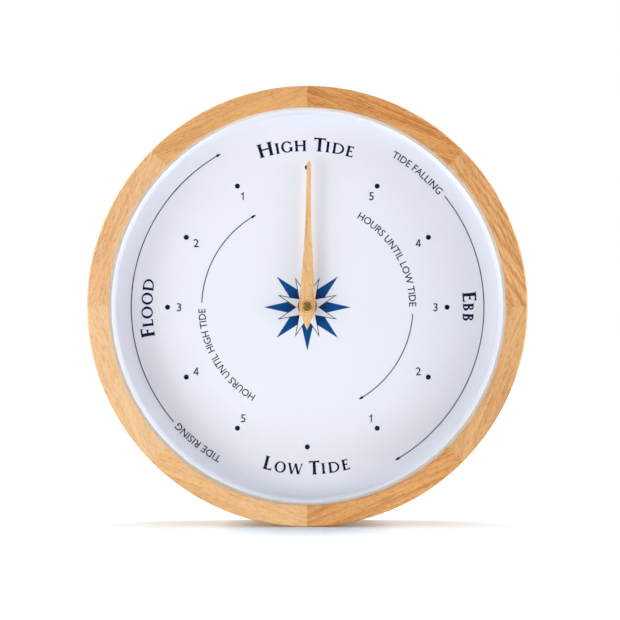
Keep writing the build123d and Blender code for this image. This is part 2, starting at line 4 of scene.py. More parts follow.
import bpy
import numpy as np
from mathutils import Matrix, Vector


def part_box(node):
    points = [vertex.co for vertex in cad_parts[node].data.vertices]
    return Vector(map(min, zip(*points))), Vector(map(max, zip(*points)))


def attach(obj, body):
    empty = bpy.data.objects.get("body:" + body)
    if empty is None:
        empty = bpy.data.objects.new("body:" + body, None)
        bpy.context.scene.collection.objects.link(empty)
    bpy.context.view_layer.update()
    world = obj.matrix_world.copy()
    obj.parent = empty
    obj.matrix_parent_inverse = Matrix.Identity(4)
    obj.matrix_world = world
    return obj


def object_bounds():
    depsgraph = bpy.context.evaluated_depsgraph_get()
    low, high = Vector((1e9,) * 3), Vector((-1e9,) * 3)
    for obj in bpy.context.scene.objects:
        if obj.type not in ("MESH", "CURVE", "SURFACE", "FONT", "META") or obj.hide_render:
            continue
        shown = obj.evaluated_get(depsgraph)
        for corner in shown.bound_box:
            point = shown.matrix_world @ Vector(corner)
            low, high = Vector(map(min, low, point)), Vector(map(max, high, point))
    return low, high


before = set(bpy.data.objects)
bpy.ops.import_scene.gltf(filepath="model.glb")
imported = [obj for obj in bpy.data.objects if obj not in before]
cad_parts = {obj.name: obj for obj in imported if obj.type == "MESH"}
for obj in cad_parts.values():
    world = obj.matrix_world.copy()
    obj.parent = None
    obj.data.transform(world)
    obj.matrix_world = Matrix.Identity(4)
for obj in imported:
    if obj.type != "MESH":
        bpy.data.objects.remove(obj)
cad_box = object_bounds()

# Camera. It stands square in front of the clock, a little above the middle of the dial. The
# ring's middle and radius in the photograph, which is 620 pixels wide, set its lens and shift.
photo_side = 620
ring_middle_pixels = (307.3, 306.4)
ring_radius_pixels = 220.6
camera_distance = 1.3
camera_rise = math.radians(0.5)
sensor_width = 36.0
ring_radius = (cad_box[1].x - cad_box[0].x) / 2
ring_front = cad_box[0].y
dial_middle = (cad_box[0].z + cad_box[1].z) / 2

camera = bpy.data.objects.new("camera", bpy.data.cameras.new("camera"))
bpy.context.scene.collection.objects.link(camera)
bpy.context.scene.camera = camera
camera.location = (
    0,
    ring_front - camera_distance * math.cos(camera_rise),
    dial_middle + camera_distance * math.sin(camera_rise),
)
camera.rotation_euler = (math.pi / 2 - camera_rise, 0, 0)
camera.data.sensor_width = sensor_width
camera.data.lens = sensor_width * camera_distance * ring_radius_pixels / ring_radius / photo_side
camera.data.shift_x = 0.5 - ring_middle_pixels[0] / photo_side
camera.data.shift_y = ring_middle_pixels[1] / photo_side - 0.5
bpy.context.scene.view_settings.view_transform = "Standard"

# Studio. The floor is a cool white, so that light off the wood doesn't warm its shadows, throws
# little light back and glows to white where it meets the backdrop. Soft panels stand round the
# dial: from the left and the right, from below and above, and a pair behind that light the floor.
floor_gap = 0.0002
floor_reach = 6.0
floor_tone = (0.87, 0.92, 0.955, 1)
floor_bounce = (0.2, 0.2, 0.2, 1)
floor_roughness = 0.9
backdrop_start = 0.3
backdrop_white = 0.8
plain_light = (1.0, 0.975, 0.95)
sky_light = (0.78, 0.90, 1.0)
white_light = (1.0, 1.0, 1.0)
panels = (
    # name, azimuth to the right of the camera, elevation, distance, width, height, watts, tint
    ("left_panel", -45, -15, 1.3, 0.6, 0.6, 5.6, plain_light),
    ("far_left_panel", -60, 0, 1.3, 0.6, 0.6, 6.8, plain_light),
    ("right_panel", 50, -5, 1.3, 0.6, 0.6, 4.8, plain_light),
    ("far_right_panel", 75, 0, 1.3, 0.6, 0.6, 7.6, plain_light),
    ("tall_right_panel", 62, 10, 1.3, 0.5, 0.8, 1.9, plain_light),
    ("low_right_panel", 20, -58, 1.3, 0.5, 0.4, 1.6, sky_light),
    ("low_left_panel", -20, -60, 1.3, 0.5, 0.4, 4.1, sky_light),
    ("top_panel", 0, 66, 1.46, 2.0, 1.5, 8.8, sky_light),
    ("over_panel", 0, 95, 1.4, 1.6, 0.6, 5.5, white_light),
    ("back_left_panel", -116, 24, 1.3, 0.8, 0.6, 20.0, white_light),
    ("back_right_panel", 116, 24, 1.3, 0.8, 0.6, 20.0, white_light),
)


def add(tree, kind, inputs=None, **settings):
    """Node of a kind in a tree, with its settings, and its inputs as values or linked sockets."""
    made = tree.nodes.new(kind)
    for name, value in settings.items():
        setattr(made, name, value)
    for name, value in (inputs or {}).items():
        if isinstance(value, bpy.types.NodeSocket):
            tree.links.new(value, made.inputs[name])
        else:
            made.inputs[name].default_value = value
    return made


def math_of(tree, operation, *values):
    """Output of a Math node of values or sockets."""
    return add(tree, "ShaderNodeMath", dict(enumerate(values)), operation=operation).outputs[0]


def ramp(tree, value, low, high, start=0.0, end=1.0):
    """A value carried in a straight line from the span low to high to the span start to end."""
    spans = {"Value": value, "From Min": low, "From Max": high, "To Min": start, "To Max": end}
    return add(tree, "ShaderNodeMapRange", spans).outputs[0]


def mixed(tree, share, first, second):
    """First colour where share is zero, second where it is one."""
    return add(tree, "ShaderNodeMix", {0: share, 6: first, 7: second}, data_type="RGBA").outputs[2]


def length_of(tree, vector):
    """Length of a vector."""
    return add(tree, "ShaderNodeVectorMath", {0: vector}, operation="LENGTH").outputs["Value"]


def new_material(name):
    """Material, its node tree and its Principled node."""
    material = bpy.data.materials.new(name)
    material.use_nodes = True
    return material, material.node_tree, material.node_tree.nodes["Principled BSDF"]


def looked_at(tree):
    """One where the camera, a reflection or a look through glass meets the background, else zero,
    as it is for a ray that a matt surface has scattered on its way."""
    path = add(tree, "ShaderNodeLightPath").outputs
    mirrored = math_of(tree, "MAXIMUM", path["Is Glossy Ray"], path["Is Transmission Ray"])
    met = math_of(tree, "MAXIMUM", path["Is Camera Ray"], mirrored)
    return math_of(tree, "MULTIPLY", met, math_of(tree, "LESS_THAN", path["Diffuse Depth"], 0.5))


world = bpy.data.worlds.new("studio")
bpy.context.scene.world = world
world.use_nodes = True
backdrop = world.node_tree.nodes["Background"]
backdrop.inputs["Color"].default_value = (1, 1, 1, 1)
world.node_tree.links.new(looked_at(world.node_tree), backdrop.inputs["Strength"])

floor_height = cad_box[0].z - floor_gap
mesh = bpy.data.meshes.new("floor")
mesh.from_pydata(
    [(x * floor_reach, y * floor_reach, floor_height) for x, y in ((-1, -1), (1, -1), (1, 1), (-1, 1))],
    [], [(0, 1, 2, 3)],
)
floor = bpy.data.objects.new("floor", mesh)
bpy.context.scene.collection.objects.link(floor)
floor_white, tree, principled = new_material("floor_white")
from_clock = length_of(tree, add(tree, "ShaderNodeTexCoord").outputs["Object"])
seen = looked_at(tree)
glow = math_of(tree, "MULTIPLY", seen, ramp(tree, from_clock, backdrop_start, backdrop_white))
principled.inputs["Roughness"].default_value = floor_roughness
principled.inputs["Specular IOR Level"].default_value = 0.0
principled.inputs["Emission Color"].default_value = (1, 1, 1, 1)
tree.links.new(glow, principled.inputs["Emission Strength"])
tree.links.new(mixed(tree, seen, floor_bounce, floor_tone), principled.inputs["Base Color"])
mesh.materials.append(floor_white)
floor.visible_shadow = False

for name, azimuth, elevation, distance, width, height, watts, tint in panels:
    lamp = bpy.data.lights.new(name, "AREA")
    lamp.shape = "RECTANGLE"
    lamp.size = width
    lamp.size_y = height
    lamp.energy = watts
    lamp.color = tint
    holder = bpy.data.objects.new(name, lamp)
    bpy.context.scene.collection.objects.link(holder)
    round_dial = math.radians(azimuth)
    raised = math.radians(elevation)
    holder.location = (
        distance * math.sin(round_dial) * math.cos(raised),
        -distance * math.cos(round_dial) * math.cos(raised),
        dial_middle + distance * math.sin(raised),
    )
    aim = holder.location.copy()
    aim.z -= dial_middle
    holder.rotation_euler = aim.to_track_quat("Z", "Y").to_euler()
    holder.visible_camera = False


# Ring. Eight straight boards of beech, mitred and glued end to end, then turned round on a lathe
# and oiled, so the grain of each board runs straight across the middle of its own segment. Each
# board has its own figure and tone; the left ones are lighter, partly in tone, partly as painted light.
segment_angle = 2 * math.pi / 8
streak_slant = 0.25
# Tones of the lightest boards, on the left, are raised partly as painted light from the lamps there.
beech_boards_and_painted_light = (
    # pale tone, deep tone, growth lines, ray flecks, broad streaks
    ((236, 176, 108), (186, 110, 44), 0.60, 0.40, 0.15),
    ((244, 192, 132), (196, 130, 70), 0.50, 0.40, 0.60),
    ((238, 188, 130), (194, 134, 80), 0.35, 0.45, 0.10),
    ((240, 180, 116), (194, 124, 60), 0.50, 0.40, 0.10),
    ((252, 206, 150), (212, 152, 92), 0.30, 0.40, 0.05),
    ((254, 214, 166), (220, 164, 110), 0.22, 0.35, 0.05),
    ((252, 204, 152), (212, 154, 100), 0.30, 0.50, 0.15),
    ((242, 186, 122), (204, 142, 82), 0.40, 0.40, 0.05),
)
board_seed_step = 1.7
beech_noises = {
    # changes along and across the grain in a metre, detail, seed, and the span of it that shows
    "bands": (12, 150, 2, 3.1, 0.35, 0.65),
    "lines": (26, 900, 3, 7.7, 0.44, 0.68),
    "fibres": (120, 2600, 3, 1.3, 0.30, 0.70),
    "pores": (460, 3200, 1, 2.2, 0.50, 0.66),
    "flecks": (330, 1900, 1, 5.9, 0.56, 0.68),
    "streaks": (14, 520, 3, 9.4, 0.48, 0.66),
}
band_depth, fibre_depth, pore_depth = 0.18, 0.24, 0.24
fibre_rise, pore_rise, fleck_rise = 0.6, -0.6, -0.3
oiled_gloss = (0.42, 0.58)
oiled_shine = {"Specular IOR Level": 0.35}
wood_bump = 0.00005
noise_roughness = 0.55


def shade(red, green, blue):
    """Linear colour with full alpha of an sRGB colour from 0 to 255."""
    channels = np.array((red, green, blue)) / 255
    linear = np.where(channels <= 0.04045, channels / 12.92, ((channels + 0.055) / 1.055) ** 2.4)
    return (*linear, 1.0)


def new_group(name, inputs):
    """Shader node group with named inputs. It puts out a colour, a roughness and a height."""
    tree = bpy.data.node_groups.new(name, "ShaderNodeTree")
    for title, kind in inputs.items():
        tree.interface.new_socket(title, in_out="INPUT", socket_type="NodeSocket" + kind)
    for title, kind in (("Color", "Color"), ("Roughness", "Float"), ("Height", "Float")):
        tree.interface.new_socket(title, in_out="OUTPUT", socket_type="NodeSocket" + kind)
    given = add(tree, "NodeGroupInput")
    result = add(tree, "NodeGroupOutput")
    return tree, given.outputs, result.inputs


def swung(tree, vector, angle):
    """Coordinates turned round y."""
    return add(tree, "ShaderNodeMapping", {"Vector": vector, "Rotation": (0, angle, 0)}).outputs[0]


def drawn_noise(tree, vector, along, across, detail, seed):
    """Noise drawn out along x: it changes along and across so many times in a metre."""
    place = add(tree, "ShaderNodeMapping", {
        "Vector": vector, "Location": (seed, seed, seed), "Scale": (along, across, across),
    })
    return add(tree, "ShaderNodeTexNoise", {
        "Vector": place.outputs[0], "Scale": 1.0, "Detail": detail, "Roughness": noise_roughness,
    }).outputs["Fac"]


def weighed(tree, terms):
    """Sum of values, each times its own weight."""
    total = 0.0
    for value, weight in terms:
        total = math_of(tree, "MULTIPLY_ADD", value, weight, total)
    return total


def placed(tree, turn=(0, 0, 0), middle=(0, 0, 0)):
    """Object coordinates measured from a middle, then turned."""
    coordinates = add(tree, "ShaderNodeTexCoord").outputs["Object"]
    centred = add(tree, "ShaderNodeVectorMath", {0: coordinates, 1: middle}, operation="SUBTRACT")
    return add(tree, "ShaderNodeMapping", {"Vector": centred.outputs[0], "Rotation": turn}).outputs[0]


def finish(name, surface, values, bump, plain=None, turn=(0, 0, 0), middle=(0, 0, 0)):
    """Material of a surface group with its values, the depth of its bump and plain shader values."""
    material, tree, principled = new_material(name)
    effect = add(tree, "ShaderNodeGroup", node_tree=surface)
    tree.links.new(placed(tree, turn, middle), effect.inputs["Vector"])
    for title, value in values.items():
        effect.inputs[title].default_value = value
    raised = add(tree, "ShaderNodeBump", {"Height": effect.outputs["Height"], "Distance": bump})
    tree.links.new(effect.outputs["Color"], principled.inputs["Base Color"])
    tree.links.new(effect.outputs["Roughness"], principled.inputs["Roughness"])
    tree.links.new(raised.outputs[0], principled.inputs["Normal"])
    for title, value in (plain or {}).items():
        principled.inputs[title].default_value = value
    return material


def dress(material, *names):
    """Gives a material to nodes of the frame."""
    for name in names:
        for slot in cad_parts[name].material_slots:
            slot.material = material


def beech_group():
    """Straight grain along x: broad bands, growth lines, fibres, pores and short ray flecks, each a
    noise drawn out along the grain, and slanting streaks in some boards."""
    tree, given, result = new_group("beech_grain", {
        "Vector": "Vector", "Pale": "Color", "Deep": "Color", "Lines": "Float", "Flecks": "Float",
        "Streaks": "Float", "Seed": "Float",
    })
    own_place = add(tree, "ShaderNodeVectorMath", {0: given["Vector"], 1: given["Seed"]}, operation="ADD")
    straight = own_place.outputs[0]
    slanted = swung(tree, straight, streak_slant)
    shown = {}
    for name, (along, across, detail, seed, low, high) in beech_noises.items():
        vector = slanted if name == "streaks" else straight
        shown[name] = ramp(tree, drawn_noise(tree, vector, along, across, detail, seed), low, high)
    depth = weighed(tree, (
        (shown["bands"], band_depth), (shown["fibres"], fibre_depth), (shown["pores"], pore_depth),
        (shown["lines"], given["Lines"]), (shown["flecks"], given["Flecks"]),
        (shown["streaks"], given["Streaks"]),
    ))
    height = weighed(tree, (
        (shown["fibres"], fibre_rise), (shown["pores"], pore_rise), (shown["flecks"], fleck_rise),
    ))
    share = add(tree, "ShaderNodeClamp", {"Value": depth}).outputs[0]
    tree.links.new(mixed(tree, share, given["Pale"], given["Deep"]), result["Color"])
    tree.links.new(ramp(tree, shown["fibres"], 0.0, 1.0, *oiled_gloss), result["Roughness"])
    tree.links.new(height, result["Height"])
    return tree


beech_grain = beech_group()
for number, (pale, deep, lines, flecks, streaks) in enumerate(beech_boards_and_painted_light, 1):
    values = {"Pale": shade(*pale), "Deep": shade(*deep), "Lines": lines, "Flecks": flecks,
              "Streaks": streaks, "Seed": number * board_seed_step}
    turn = (0, -segment_angle * (number - 0.5), 0)
    board = finish(f"beech_{number}", beech_grain, values, wood_bump, oiled_shine, turn)
    dress(board, f"frame_segment_{number}")

# Glass. A flat disc of float glass, 2 mm thick, that drops into the ring from behind and rests on
# its lip. It is clear, with a trace of green at its edge, and mirrors hardly anything of the room.
glass_tint = (0.995, 1.0, 0.998, 1)
glass_bending = 1.12
clear_glass, tree, principled = new_material("clear_glass")
principled.inputs["Base Color"].default_value = glass_tint
principled.inputs["Roughness"].default_value = 0.0
principled.inputs["IOR"].default_value = glass_bending
principled.inputs["Transmission Weight"].default_value = 1.0
path = add(tree, "ShaderNodeLightPath").outputs
lighting = math_of(tree, "MAXIMUM", path["Is Shadow Ray"], path["Is Diffuse Ray"])
lit_through = add(tree, "ShaderNodeBsdfTransparent", {"Color": glass_tint})
pane = add(tree, "ShaderNodeMixShader", {0: lighting, 1: principled.outputs[0], 2: lit_through.outputs[0]})
tree.links.new(pane.outputs[0], tree.nodes["Material Output"].inputs["Surface"])
dress(clear_glass, "glass")


# Rim and dial plate. The rim is a white moulded spacer that keeps the glass off the hand, and
# the dial a thin white plate that it presses on the board. Both are satin and faintly uneven.
rim_tone = (238, 241, 250)
# Painted highlight: the rim turns lighter towards the ring's lip, against the shade that the lip casts there.
lip_painted_light_tone = (254, 255, 255)
lip_painted_light_span = (0.1018, 0.1026)
dial_tone = (241, 242, 252)
drift_scale = 38.0
grain_roughness = 0.16
satin_roughness = 0.42
satin_shine = {"Specular IOR Level": 0.3}


def noise(tree, vector, scale, detail=2.0):
    """Noise that changes the same way along every axis, so many times in a metre."""
    spread = {"Vector": vector, "Scale": scale, "Detail": detail}
    return add(tree, "ShaderNodeTexNoise", spread).outputs["Fac"]


def moulded_group():
    """Even colour with a faint broad drift, and a fine grain in its roughness and height."""
    tree, given, result = new_group("moulded_surface", {
        "Vector": "Vector", "Tint": "Color", "Drift": "Float", "Grain": "Float", "Gloss": "Float",
    })
    broad = noise(tree, given["Vector"], drift_scale)
    fine = noise(tree, given["Vector"], given["Grain"], 3.0)
    uneven = math_of(tree, "SUBTRACT", broad, 0.5)
    level = math_of(tree, "MULTIPLY_ADD", uneven, given["Drift"], 1.0)
    tinted = add(tree, "ShaderNodeVectorMath", {0: given["Tint"], "Scale": level}, operation="SCALE")
    gloss = math_of(tree, "MULTIPLY_ADD", fine, grain_roughness, given["Gloss"])
    tree.links.new(tinted.outputs[0], result["Color"])
    tree.links.new(gloss, result["Roughness"])
    tree.links.new(fine, result["Height"])
    return tree


moulded_surface = moulded_group()


def moulded(name, tone, drift, grain, gloss, bump, plain=None):
    """Moulded, painted or printed finish: tone, its drift, grains in a metre, roughness, bump."""
    values = {"Tint": shade(*tone), "Drift": drift, "Grain": grain, "Gloss": gloss}
    return finish(name, moulded_surface, values, bump, plain)


rim_white = moulded("rim_white", rim_tone, drift=0.02, grain=2600, gloss=satin_roughness, bump=0.00001,
                    plain=satin_shine)
# Painted light: between these radii the rim's tone turns to the lighter lip tone, against the lip's shadow.
tree = rim_white.node_tree
in_plane = add(tree, "ShaderNodeVectorMath", {0: placed(tree, middle=(0, 0, dial_middle)), 1: (1, 0, 1)},
               operation="MULTIPLY").outputs[0]
painted_lighter = mixed(tree, ramp(tree, length_of(tree, in_plane), *lip_painted_light_span), shade(*rim_tone), shade(*lip_painted_light_tone))
tree.links.new(painted_lighter, tree.nodes["Group"].inputs["Tint"])
dress(rim_white, "rim")
dial_satin = moulded("dial_satin", dial_tone, drift=0.02, grain=1900, gloss=satin_roughness,
                     bump=0.000004, plain=satin_shine)
dress(dial_satin, "dial")

# Dots and hours of the printing. Thin films of navy ink on the dial: twelve dots on a circle, and
# inside it the numbers one to five down each side, for the hours to the next high or low tide.
print_middle = (0.0, dial_middle - 0.0006)
dial_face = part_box("dial")[0].y
film = 0.00003
dot_count = 12
dot_circle = 0.074
dot_radius = 0.00135
dot_steps = 32
number_circle = 0.0679
number_height = 0.0042
hour_turn = 360 / dot_count
figure_stroke = 0.14
flag_reach = 0.26
flag_foot = 0.78
flag_root_share = 1.6
four_stem = 0.12
four_span = (-0.34, 0.32, 0.34)
four_slant_shares = (1.2, 2.0)
curve_steps = 3
plain_weight = 0.009
navy_tone = (8, 18, 62)
matt_print = {"Specular IOR Level": 0.05}


def ribbon(first, second):
    """Area between two lines that have the same number of points, cut into triangles."""
    count = len(first)
    near = np.arange(count - 1)
    far = near + count
    triangles = np.concatenate((
        np.stack((near, far, far + 1), axis=1),
        np.stack((near, far + 1, near + 1), axis=1),
    ))
    return np.concatenate((first, second)), triangles


def polar(radii, angles):
    """Points at radii and angles in radians: the radius times the cosine of the angle to the right,
    and times its sine upwards."""
    return np.stack((radii * np.cos(angles), radii * np.sin(angles)), axis=1)


def fan(radii, angles):
    """Closed outline at radii and angles round its middle, with triangles that join it to that."""
    count = len(angles)
    ray = np.arange(count)
    triangles = np.stack((np.zeros(count, int), ray + 1, (ray + 1) % count + 1), axis=1)
    return np.concatenate((np.zeros((1, 2)), polar(radii, angles))), triangles


def joined(parts):
    """One set of points and triangles from several."""
    starts = np.cumsum([0] + [len(points) for points, _ in parts[:-1]])
    points = np.concatenate([points for points, _ in parts])
    return points, np.concatenate([triangles + start for start, (_, triangles) in zip(starts, parts)])


def moved(part, x, y, size=1.0):
    """The same points and triangles at another size, moved."""
    return part[0] * size + np.array((x, y)), part[1]


def ink(name, parts, material, layer=1):
    """Closed film on the dial: its front a layer's height above the face, its back on the face,
    and a wall along each edge that only one triangle has."""
    points, triangles = joined(parts)
    a, b, c = (points[triangles[:, k]] for k in range(3))
    turn = (b[:, 0] - a[:, 0]) * (c[:, 1] - a[:, 1]) - (b[:, 1] - a[:, 1]) * (c[:, 0] - a[:, 0])
    triangles = np.where((turn > 0)[:, None], triangles, triangles[:, ::-1])
    edges = np.concatenate((triangles[:, :2], triangles[:, 1:], triangles[:, [2, 0]]))
    _, first, uses = np.unique(np.sort(edges, axis=1), axis=0, return_index=True, return_counts=True)
    start, end = edges[first[uses == 1]].T
    count = len(points)
    x = np.tile(points[:, 0] + print_middle[0], 2)
    y = np.repeat((dial_face - layer * film, dial_face), count)
    z = np.tile(points[:, 1] + print_middle[1], 2)
    walls = np.stack((end, start, start + count, end + count), axis=1)
    mesh = bpy.data.meshes.new(name)
    mesh.from_pydata(np.stack((x, y, z), axis=1).tolist(), [],
                     triangles.tolist() + (triangles[:, ::-1] + count).tolist() + walls.tolist())
    mesh.materials.append(material)
    piece = bpy.data.objects.new(name, mesh)
    bpy.context.scene.collection.objects.link(piece)
    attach(piece, "clock_case")


def plain_letters(words):
    """Words in a plain typeface at its own size, flat and cut into triangles."""
    curve = bpy.data.curves.new("words", "FONT")
    curve.body = words
    curve.resolution_u = curve_steps
    curve.offset = plain_weight
    holder = bpy.data.objects.new("words", curve)
    mesh = bpy.data.meshes.new_from_object(holder)
    mesh.calc_loop_triangles()
    points = np.zeros(len(mesh.vertices) * 3)
    mesh.vertices.foreach_get("co", points)
    triangles = np.zeros(len(mesh.loop_triangles) * 3, int)
    mesh.loop_triangles.foreach_get("vertices", triangles)
    bpy.data.objects.remove(holder)
    bpy.data.meshes.remove(mesh)
    return points.reshape(-1, 3)[:, :2], triangles.reshape(-1, 3)


plain_capital = plain_letters("H")[0][:, 1].max()


def flat_text(words, height):
    """Plain words, their middle on zero, drawn to the height that their capitals should have."""
    points, triangles = plain_letters(words)
    points = points * height / plain_capital
    points[:, 0] -= (points[:, 0].min() + points[:, 0].max()) / 2
    return points, triangles


def figure_one():
    """The number one, a unit high: an upright stroke, and a slanting flag at its top left."""
    half = figure_stroke / 2
    upright = ribbon(np.array(((-half, 0.0), (-half, 1.0))), np.array(((half, 0.0), (half, 1.0))))
    flag = ribbon(
        np.array(((-flag_reach, flag_foot), (half, 1.0))),
        np.array(((-flag_reach, flag_foot - figure_stroke), (half, 1.0 - flag_root_share * figure_stroke))),
    )
    return joined([upright, flag])


def figure_four():
    """The number four, a unit high: an upright stroke right of its middle, a level bar across it,
    and a slanting stroke from the upright's top to the bar's left end."""
    left, right, bar = four_span
    inner, outer = four_stem - figure_stroke / 2, four_stem + figure_stroke / 2
    upright = ribbon(np.array(((inner, 0.0), (inner, 1.0))), np.array(((outer, 0.0), (outer, 1.0))))
    level = ribbon(np.array(((left, bar), (right, bar))),
                   np.array(((left, bar - figure_stroke), (right, bar - figure_stroke))))
    foot, head = (share * figure_stroke for share in four_slant_shares)
    slant = ribbon(np.array(((left, bar), (inner, 1.0))), np.array(((left + foot, bar), (inner, 1.0 - head))))
    return joined([upright, level, slant])


navy_ink = moulded("navy_ink", navy_tone, drift=0.10, grain=2400, gloss=0.5, bump=0.000002,
                   plain=matt_print)
dot = fan(np.full(dot_steps, dot_radius), np.linspace(0, 2 * math.pi, dot_steps, endpoint=False))
dot_places = polar(dot_circle, np.arange(dot_count) * 2 * math.pi / dot_count)
ink("dial_dots", [moved(dot, *place) for place in dot_places], navy_ink)
drawn_figures = {1: figure_one(), 4: figure_four()}
hours = []
for hour in range(1, 6):
    if hour in drawn_figures:
        figure = moved(drawn_figures[hour], 0, 0, number_height)
    else:
        figure = flat_text(str(hour), number_height)
    for angle in (90 + hour * hour_turn, -90 + hour * hour_turn):
        x, y = polar(number_circle, np.radians([angle]))[0]
        hours.append(moved(figure, x, y - number_height / 2))
ink("dial_hours", hours, navy_ink)

# Small words of the printing. Plain capitals that run clockwise round the dial, two beside the
# outer arrows that say which way the tide goes, and two beside the inner arrows for the hours.
word_height = 0.0037
small_words = (
    # words, radius, start and end in degrees
    ("TIDE FALLING", 0.0912, 60.8, 40.6),
    ("TIDE RISING", 0.0912, 240.2, 222.0),
    ("HOURS UNTIL LOW TIDE", 0.0540, 60.8, 0.4),
    ("HOURS UNTIL HIGH TIDE", 0.0540, 239.5, 180.9),
)


def bent(part, radius, middle, tops_out=True):
    """Words bent round the dial: x runs clockwise on a circle, or the other way with tops inward."""
    way = 1 if tops_out else -1
    angles = math.radians(middle) - way * part[0][:, 0] / radius
    return polar(radius + way * part[0][:, 1], angles), part[1]


def arc_words(words, radius, start, end):
    """Plain words on a circle, drawn out or in so that they reach from a start to an end."""
    points, triangles = flat_text(words, word_height)
    points[:, 0] *= radius * math.radians(start - end) / np.ptp(points[:, 0])
    return bent((points, triangles), radius, (start + end) / 2)


ink("dial_small_words", [arc_words(*words) for words in small_words], navy_ink)

# Large words of the printing. The four states of the tide in seriffed small capitals, each letter
# of strokes that swell into bracketed serifs, set round the edge of the dial.
stem_width = 0.225
hair_width = 0.11
serif_reach = 0.12
serif_drop = 0.04
stroke_steps = 24
large_capital = 0.0072
small_capital = 0.0057
state_words = (
    # baseline radius, middle angle, tops outward, and each letter's height and degrees clockwise
    (0.0826, 90, True, (("H", large_capital, -14.9), ("I", small_capital, -10.7), ("G", small_capital, -7.3),
                        ("H", small_capital, -2.45), ("T", large_capital, 4.35), ("I", small_capital, 7.3),
                        ("D", small_capital, 11.05), ("E", small_capital, 15.3))),
    (0.0887, 270, False, (("L", large_capital, -14.1), ("O", small_capital, -9.6), ("W", small_capital, -4.3),
                          ("T", large_capital, 2.5), ("I", small_capital, 5.7), ("D", small_capital, 9.4),
                          ("E", small_capital, 13.6))),
    (0.0820, 180, True, (("F", large_capital, -9.15), ("L", small_capital, -5.75), ("O", small_capital, -1.9),
                         ("O", small_capital, 3.05), ("D", small_capital, 7.95))),
    (0.0824, 0, True, (("E", large_capital, -3.65), ("B", small_capital, -0.1), ("B", small_capital, 3.55))),
)


def swell(span):
    """Falls from one at the end of a stroke to nothing within a serif, by an exponential."""
    return np.exp(-span / serif_drop)


def stem(x, low=0.0, high=1.0, foot=1.0, head=1.0, lean=0.0, width=stem_width):
    """Stroke from a low to a high end whose half width swells at both, its top leaning by so much."""
    share = (1 - np.cos(np.linspace(0, math.pi, stroke_steps))) / 2
    y = low + (high - low) * share
    half = width / 2 + serif_reach * (foot * swell(y - low) + head * swell(high - y))
    middle = x + lean * share
    return ribbon(np.stack((middle - half, y), axis=1), np.stack((middle + half, y), axis=1))


def arm(start, end, y, rise=0.0, fall=0.0):
    """Thin level stroke from a start to an end, where it swells upward and downward by so much."""
    x = np.linspace(start, end, stroke_steps)
    tip = swell(np.abs(end - x))
    upper = y + hair_width / 2 + rise * tip
    lower = y - hair_width / 2 - fall * tip
    return ribbon(np.stack((x, lower), axis=1), np.stack((x, upper), axis=1))


def bowl(x, y, across, upright, start=-90, end=90, thick=stem_width):
    """Part of an oval ring, thick at its sides and thin at its top and bottom."""
    angles = np.radians(np.linspace(start, end, 2 * stroke_steps))
    inner = np.stack(((across - thick) * np.cos(angles), (upright - hair_width) * np.sin(angles)), axis=1)
    outer = np.stack((across * np.cos(angles), upright * np.sin(angles)), axis=1)
    return ribbon(inner + (x, y), outer + (x, y))


top_arm = 1 - hair_width / 2
low_arm = hair_width / 2
letters = {
    # width, strokes
    "B": (0.70, [stem(0.20), arm(0.20, 0.32, top_arm), arm(0.20, 0.34, 0.53), arm(0.20, 0.34, low_arm),
                 bowl(0.31, 0.765, 0.30, 0.235, thick=0.16), bowl(0.33, 0.282, 0.36, 0.282)]),
    "D": (1.08, [stem(0.20), arm(0.20, 0.46, top_arm), arm(0.20, 0.46, low_arm),
                 bowl(0.45, 0.5, 0.63, 0.5, thick=0.20)]),
    "E": (0.72, [stem(0.20), arm(0.20, 0.63, top_arm, 0.02, 0.14), arm(0.20, 0.54, 0.53, 0.08, 0.08),
                 arm(0.20, 0.70, low_arm, 0.18, 0.0)]),
    "F": (0.64, [stem(0.20), arm(0.20, 0.63, top_arm, 0.02, 0.14), arm(0.20, 0.54, 0.50, 0.08, 0.08)]),
    "G": (1.02, [bowl(0.52, 0.5, 0.52, 0.53, 40, 320), stem(0.90, 0.64, 0.93, 0.0, 0.0, width=0.07),
                 stem(0.88, 0.05, 0.45, 0.0, 1.0)]),
    "H": (1.10, [stem(0.20), stem(0.90), arm(0.20, 0.90, 0.53)]),
    "I": (0.40, [stem(0.20)]),
    "L": (0.68, [stem(0.20), arm(0.20, 0.67, low_arm, 0.20, 0.0)]),
    "O": (1.10, [bowl(0.55, 0.5, 0.55, 0.53, 0, 360)]),
    "T": (0.84, [stem(0.42, head=0.0), arm(0.42, 0.02, top_arm, 0.03, 0.13),
                 arm(0.42, 0.82, top_arm, 0.03, 0.13)]),
    "W": (1.52, [stem(0.47, foot=0.0, lean=-0.32), stem(0.47, foot=0.0, head=0.0, lean=0.30, width=0.09),
                 stem(1.09, foot=0.0, head=0.0, lean=-0.32), stem(1.09, foot=0.0, lean=0.30, width=0.09)]),
}


def state_word(baseline, middle, tops_out, spread):
    """The letters of a word, each centred on its own width and bent at its own angle."""
    way = 1 if tops_out else -1
    parts = []
    for letter, height, degrees in spread:
        width, strokes = letters[letter]
        upright = moved(joined(strokes), -width / 2 * height, 0, height)
        parts.append(bent(upright, baseline, middle - way * degrees, tops_out))
    return joined(parts)


ink("dial_state_words", [state_word(*word) for word in state_words], navy_ink)

# Arrows of the printing. Hairlines on two circles that start at the small words and end in a
# slim solid head.
hairline = 0.0005
hairline_steps = 120
arrow_head_length = 0.0026
arrow_head_width = 0.0016
arrow_head_steps = 12
arrow_head_end = 0.99
arrow_head_power = 0.6
arrow_neck_shares = (0.45, 3.0)
arrows = (
    # radius, start and end in degrees
    (0.0932, 220.6, 120.3),
    (0.0935, 39.1, -59.3),
    (0.0559, 177.5, 120.5),
    (0.0559, -3.6, -59.4),
)


